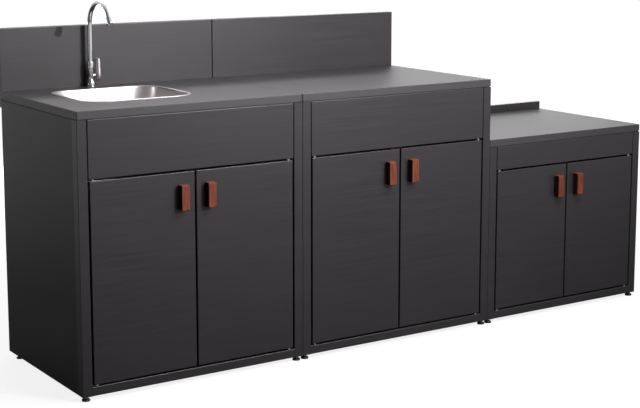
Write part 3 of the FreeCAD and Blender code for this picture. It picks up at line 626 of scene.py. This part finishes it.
lever = carved(lever, new_piece("slot", slot_cutter, chrome), "DIFFERENCE")
smooth_up_to(lever.data, TURNED_SHARP)
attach(lever, "lever")
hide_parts("tap_lever")
paint_nodes(chrome, "tap_stem")

# Screws: pan-head, hexagon socket, zinc plated. Thirty hold the panels and worktops, and
# two from behind each door hold its pull. They are set on their seats by one node tree.
SCREW_HEAD, SCREW_HEAD_HEIGHT = 0.00475, 0.0026
SCREW_SHANK, SCREW_LENGTH, SCREW_TIP = 0.0024, 0.0072, 0.0003
THREAD_PITCH, THREAD_DEPTH = 0.0008, 0.0004
CREST_STARTS, CREST_ENDS = 0.35, 0.50   # in pitches from the root
THREAD_FREE = 0.4                       # pitches without a thread under the head
SOCKET_HALF, SOCKET_DEPTH = 0.0015, 0.0014
SCREW_SIDES = 24
SCREW_SHARP = 35
PULL_SCREW_RISE = 0.024
DOOR_SHEET = 0.0015
SEED = 11
HEAD_PROFILE = (
    (SCREW_SHANK, 0.0), (0.0044, 0.0), (SCREW_HEAD, 0.0003), (SCREW_HEAD, 0.0010),
    (0.0044, 0.0018), (0.0035, 0.0024), (0.0026, SCREW_HEAD_HEIGHT),
)
# Share of the socket's width, and height
SOCKET_PROFILE = (
    (1.06, SCREW_HEAD_HEIGHT), (1.0, SCREW_HEAD_HEIGHT - 0.0001),
    (1.0, SCREW_HEAD_HEIGHT - SOCKET_DEPTH), (0.0, SCREW_HEAD_HEIGHT - SOCKET_DEPTH - 0.0003),
)

thread = []
for k in range(int(SCREW_LENGTH / THREAD_PITCH) + 1):
    z = -SCREW_LENGTH + THREAD_PITCH * k
    thread.append((SCREW_SHANK - THREAD_DEPTH, z))
    thread.append((SCREW_SHANK, z + THREAD_PITCH * CREST_STARTS))
    thread.append((SCREW_SHANK, z + THREAD_PITCH * CREST_ENDS))
screw_rings = [(0.0, -SCREW_LENGTH - SCREW_TIP)]
screw_rings += [(r, z) for r, z in thread if z < -THREAD_PITCH * THREAD_FREE]
outlines = circles(screw_rings + list(HEAD_PROFILE), SCREW_SIDES)
for width_share, z in SOCKET_PROFILE:
    hexagon = []
    for t in full_turn(SCREW_SIDES):
        lean = (t + math.pi / 6) % (math.pi / 3) - math.pi / 6
        reach = SOCKET_HALF * width_share / math.cos(lean)
        hexagon.append((reach * math.cos(t), reach * math.sin(t), z))
    outlines.append(hexagon)
screw_mesh = bmesh.new()
skin(screw_mesh, outlines)
bmesh.ops.remove_doubles(screw_mesh, verts=screw_mesh.verts, dist=HAIR)
bmesh.ops.recalc_face_normals(screw_mesh, faces=screw_mesh.faces)
screw = new_piece("pan_head_screw", screw_mesh, zinc, SCREW_SHARP)

setting = bpy.data.node_groups.new("screws_on_their_seats", "GeometryNodeTree")


def group_socket(name, kind, in_out="INPUT"):
    """Opens a socket of the node tree and gives the key that sets it from outside."""
    made = setting.interface.new_socket(name, in_out=in_out, socket_type=kind)
    return made.identifier


group_socket("Seats", "NodeSocketGeometry")
screw_input = group_socket("Screw", "NodeSocketObject")
finish_input = group_socket("Finish", "NodeSocketMaterial")
seed_input = group_socket("Seed", "NodeSocketInt")
group_socket("Screws", "NodeSocketGeometry", "OUTPUT")
given = add(setting, "NodeGroupInput").outputs
way = add(
    setting, "GeometryNodeInputNamedAttribute", {"Name": "way"},
    data_type="FLOAT_VECTOR").outputs["Attribute"]
aimed = add(
    setting, "FunctionNodeAlignRotationToVector", {"Vector": way}, axis="Z").outputs["Rotation"]
spin = add(setting, "FunctionNodeRandomValue", {"Seed": given["Seed"]}, data_type="FLOAT")
spin.inputs[3].default_value = math.pi / 3   # the most that a hexagon has to turn
spin_turn = add(
    setting, "FunctionNodeAxisAngleToRotation",
    {"Axis": (0, 0, 1), "Angle": spin.outputs[1]}).outputs["Rotation"]
stand = add(
    setting, "FunctionNodeRotateRotation", {"Rotation": aimed, "Rotate By": spin_turn},
    rotation_space="LOCAL").outputs["Rotation"]
shape = add(
    setting, "GeometryNodeObjectInfo",
    {"Object": given["Screw"], "As Instance": True}).outputs["Geometry"]
placed = add(
    setting, "GeometryNodeInstanceOnPoints",
    {"Points": given["Seats"], "Instance": shape, "Rotation": stand}).outputs["Instances"]
real = add(setting, "GeometryNodeRealizeInstances", {"Geometry": placed}).outputs["Geometry"]
plated_screws = add(
    setting, "GeometryNodeSetMaterial",
    {"Geometry": real, "Material": given["Finish"]}).outputs["Geometry"]
add(setting, "NodeGroupOutput", {"Screws": plated_screws})


def set_screws(name, seats, rider, replaced=None):
    """Screws on seats given as point and the way that the head looks."""
    points = bpy.data.meshes.new(name + "_seats")
    points.from_pydata([seat for seat, way in seats], [], [])
    ways = points.attributes.new("way", "FLOAT_VECTOR", "POINT")
    for item, (seat, way) in zip(ways.data, seats):
        item.vector = way
    holder = bpy.data.objects.new(name, points)
    bpy.context.scene.collection.objects.link(holder)
    setter = holder.modifiers.new("screws", "NODES")
    setter.node_group = setting
    setter[screw_input] = screw
    setter[finish_input] = zinc
    setter[seed_input] = SEED
    made = evaluated_mesh(holder)
    holder.modifiers.clear()
    holder.data = made
    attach(holder, rider)
    if replaced:
        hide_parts(replaced)


def islands(name):
    """Low and high corner of each separate solid of a CAD node, in the mesh's own order."""
    merged = bmesh.new()
    merged.from_mesh(nodes[name].data)
    bmesh.ops.remove_doubles(merged, verts=merged.verts, dist=SAME_POINT)
    waiting, boxes = set(merged.verts), []
    for start in merged.verts:
        if start not in waiting:
            continue
        waiting.remove(start)
        open_verts, found = [start], []
        while open_verts:
            vert = open_verts.pop()
            found.append(vert.co.copy())
            for edge in vert.link_edges:
                other = edge.other_vert(vert)
                if other in waiting:
                    waiting.remove(other)
                    open_verts.append(other)
        low = Vector([min(co[axis] for co in found) for axis in range(3)])
        high = Vector([max(co[axis] for co in found) for axis in range(3)])
        boxes.append((low, high))
    merged.free()
    return boxes


panel_seats = []
for low, high in islands("carcass_screws"):
    middle = (low + high) / 2
    if high.z - low.z > high.y - low.y:
        panel_seats.append(((middle.x, middle.y, low.z + SCREW_HEAD_HEIGHT), (0, 0, -1)))
    else:
        panel_seats.append(((middle.x, high.y - SCREW_HEAD_HEIGHT, middle.z), (0, 1, 0)))
set_screws("panel_screws", panel_seats, "frame", "carcass_screws")
for cabinet in CABINETS:
    for hand in ("left", "right"):
        low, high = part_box(f"{cabinet}_pull_{hand}")
        middle = (low + high) / 2
        door_back = high.y + DOOR_SHEET
        pull_seats = []
        for rise in (-PULL_SCREW_RISE, PULL_SCREW_RISE):
            pull_seats.append(((middle.x, door_back, middle.z + rise), (0, 1, 0)))
        set_screws(f"{cabinet}_pull_screws_{hand}", pull_seats, f"{cabinet}_door_{hand}")
bpy.data.objects.remove(screw)

# White floor: a plain pale surface, whitened only for what the camera and mirrors see, so
# that it keeps the kitchen's shadow. Mirrors see it pale with distance and behind the
# kitchen, and dark at the left front, which gives the chrome its dark streaks.
FLOOR_HALF = 40.0
FLOOR_GREY = "#6e6e6e"
WHITE = (1.0, 1.0, 1.0, 1.0)
DARK_FLOOR = (-0.90, -0.44, 0.0)
SIDE_SQUEEZE = (0.55, 1.0, 1.0)   # the floor pales more slowly to the left and right


def reckon_vector(tree, wanted, operation, *values):
    """One step of arithmetic on vectors, giving a vector or a value as wanted."""
    step = add(tree, "ShaderNodeVectorMath", dict(enumerate(values)), operation=operation)
    return step.outputs[wanted]


def studio_side(tree, place, dark_side, starts, full, darkest):
    """How bright a mirrored place is for its direction from the kitchen, 1 or less."""
    heading = reckon_vector(tree, "Vector", "NORMALIZE", place)
    facing_dark = reckon_vector(tree, "Value", "DOT_PRODUCT", heading, dark_side)
    return ranged(tree, facing_dark, 1.0, darkest, starts, full)


def eye_or_glass(tree, ray):
    """1 where the camera looks, straight or through something clear."""
    return reckon(tree, "ADD", ray["Is Camera Ray"], ray["Is Transmission Ray"])


floor_paint = bpy.data.materials.new("studio_floor")
floor_paint.use_nodes = True
tree = floor_paint.node_tree
tree.nodes.clear()
ray = add(tree, "ShaderNodeLightPath").outputs
glossy = ray["Is Glossy Ray"]
place = add(tree, "ShaderNodeTexCoord").outputs["Object"]
spot = add(tree, "ShaderNodeSeparateXYZ", {"Vector": place}).outputs
away = reckon_vector(tree, "Value", "LENGTH", place)
far = ranged(tree, away, low=0.84, high=1.0, starts=1.6, ends=4.0)
squeezed = reckon_vector(tree, "Vector", "MULTIPLY", place, SIDE_SQUEEZE)
mirror_far = ranged(tree, reckon_vector(tree, "Value", "LENGTH", squeezed), starts=1.6, ends=5.1)
behind = ranged(tree, spot["Y"], low=1.0, high=0.45, starts=-0.5, ends=2.0)
left_front = studio_side(tree, place, DARK_FLOOR, starts=0.60, full=0.95, darkest=0.20)
rear = ranged(tree, spot["Y"], starts=0.4, ends=1.6)
rear_side = ranged(tree, spot["X"], high=0.7, starts=-1.3, ends=-0.6)
rear = reckon(tree, "MULTIPLY", reckon(tree, "MULTIPLY", rear, rear_side), glossy)
mirrored = reckon(tree, "MULTIPLY", glossy, mirror_far)
mirrored = reckon(tree, "MULTIPLY", mirrored, behind)
mirrored = reckon(tree, "MULTIPLY", mirrored, left_front)
mirrored = reckon(tree, "MAXIMUM", mirrored, rear)
lift = reckon(tree, "MULTIPLY_ADD", eye_or_glass(tree, ray), far, mirrored)
pale = add(tree, "ShaderNodeBsdfDiffuse", {"Color": linear(FLOOR_GREY)}).outputs["BSDF"]
glow = add(tree, "ShaderNodeEmission", {"Color": WHITE, "Strength": lift}).outputs["Emission"]
both = add(tree, "ShaderNodeAddShader", {0: pale, 1: glow}).outputs["Shader"]
add(tree, "ShaderNodeOutputMaterial", {"Surface": both})
ground = bmesh.new()
bmesh.ops.create_grid(ground, x_segments=1, y_segments=1, size=FLOOR_HALF)
floor = new_piece("studio_floor", ground, floor_paint)

# Studio round the floor: white for the camera, and for everything else a weak light that
# comes mostly from behind. Mirrors see white too, but for a dark side at the left front
# and a greyer band low behind the kitchen.
DARK_SKY = (-0.77, -0.37, 0.52)

world = bpy.data.worlds.new("studio")
world.use_nodes = True
bpy.context.scene.world = world
tree = world.node_tree
tree.nodes.clear()
ray = add(tree, "ShaderNodeLightPath").outputs
heading = add(tree, "ShaderNodeTexCoord").outputs["Generated"]
parts = add(tree, "ShaderNodeSeparateXYZ", {"Vector": heading}).outputs
low_sky = ranged(tree, parts["Z"], low=0.55, high=0.0, ends=0.2)
back_sky = ranged(tree, parts["Y"], starts=-0.2, ends=0.3)
dimmed = reckon(tree, "MULTIPLY", low_sky, back_sky)
left_front = studio_side(tree, heading, DARK_SKY, starts=0.35, full=0.90, darkest=0.10)
mirrored = reckon(tree, "SUBTRACT", left_front, dimmed, use_clamp=True)
seen = eye_or_glass(tree, ray)
seen = reckon(tree, "MULTIPLY_ADD", ray["Is Glossy Ray"], mirrored, seen)
fill = ranged(tree, parts["Y"], low=0.05, high=0.55, ends=0.7)
level = ranged(tree, seen, low=fill)
sky = add(tree, "ShaderNodeBackground", {"Color": WHITE, "Strength": level})
add(tree, "ShaderNodeOutputWorld", {"Surface": sky.outputs["Background"]})

# Lamps: a small key lamp at the front right, which draws the tap's shadow on the
# splashback, a soft box over the front, two boxes that light the back, and a pale card
# on each side for what the tap, the bowl and the side panels mirror.


def lamp(name, width, height, power, place, target, spread=180):
    """A soft rectangular lamp that faces a point of the kitchen."""
    data = bpy.data.lights.new(name, "AREA")
    data.shape = "RECTANGLE"
    data.size, data.size_y = width, height
    data.energy = power
    data.spread = math.radians(spread)
    light = bpy.data.objects.new(name, data)
    light.location = place
    light.rotation_euler = (Vector(target) - Vector(place)).to_track_quat("-Z", "Y").to_euler()
    light.visible_camera = False
    bpy.context.scene.collection.objects.link(light)


lamp("key_lamp", 0.09, 0.09, 21, (1.05, -3.3, 1.95), (-0.55, 0.0, 0.95), spread=80)
lamp("back_box", 3.0, 1.0, 50, (0.6, 3.0, 3.6), (0.0, 0.0, 0.9))
lamp("soft_box", 1.6, 0.8, 78, (0.22, -1.5, 2.25), (-0.45, -0.2, 0.6))
lamp("rear_box", 2.6, 0.8, 150, (0.0, 4.0, 0.5), (0.0, 0.3, 0.5))
lamp("left_card", 1.5, 1.5, 28, (-4.6, 1.2, 1.2), (-1.1, 0.0, 0.45))
lamp("right_card", 2.5, 1.2, 37, (3.35, 3.6, 1.4), (0.4, 0.0, 0.8))

# Camera: at a standing viewer's eye height off the left front, looking slightly down.
CAMERA_PLACE = (-2.939, -4.2935, 1.467)
CAMERA_DOWN, CAMERA_HEADING = 8.78, -33.44
CAMERA_LENS, CAMERA_SENSOR = 82.18, 36
CAMERA_SHIFT = -0.094
CAMERA_SEES = 200

camera_data = bpy.data.cameras.new("camera")
camera_data.sensor_width = CAMERA_SENSOR
camera_data.lens = CAMERA_LENS
camera_data.shift_y = CAMERA_SHIFT
camera_data.clip_end = CAMERA_SEES
camera = bpy.data.objects.new("camera", camera_data)
camera.location = CAMERA_PLACE
camera.rotation_euler = (math.radians(90 - CAMERA_DOWN), 0, math.radians(CAMERA_HEADING))
bpy.context.scene.collection.objects.link(camera)
bpy.context.scene.camera = camera
bpy.context.scene.view_settings.view_transform = "Standard"
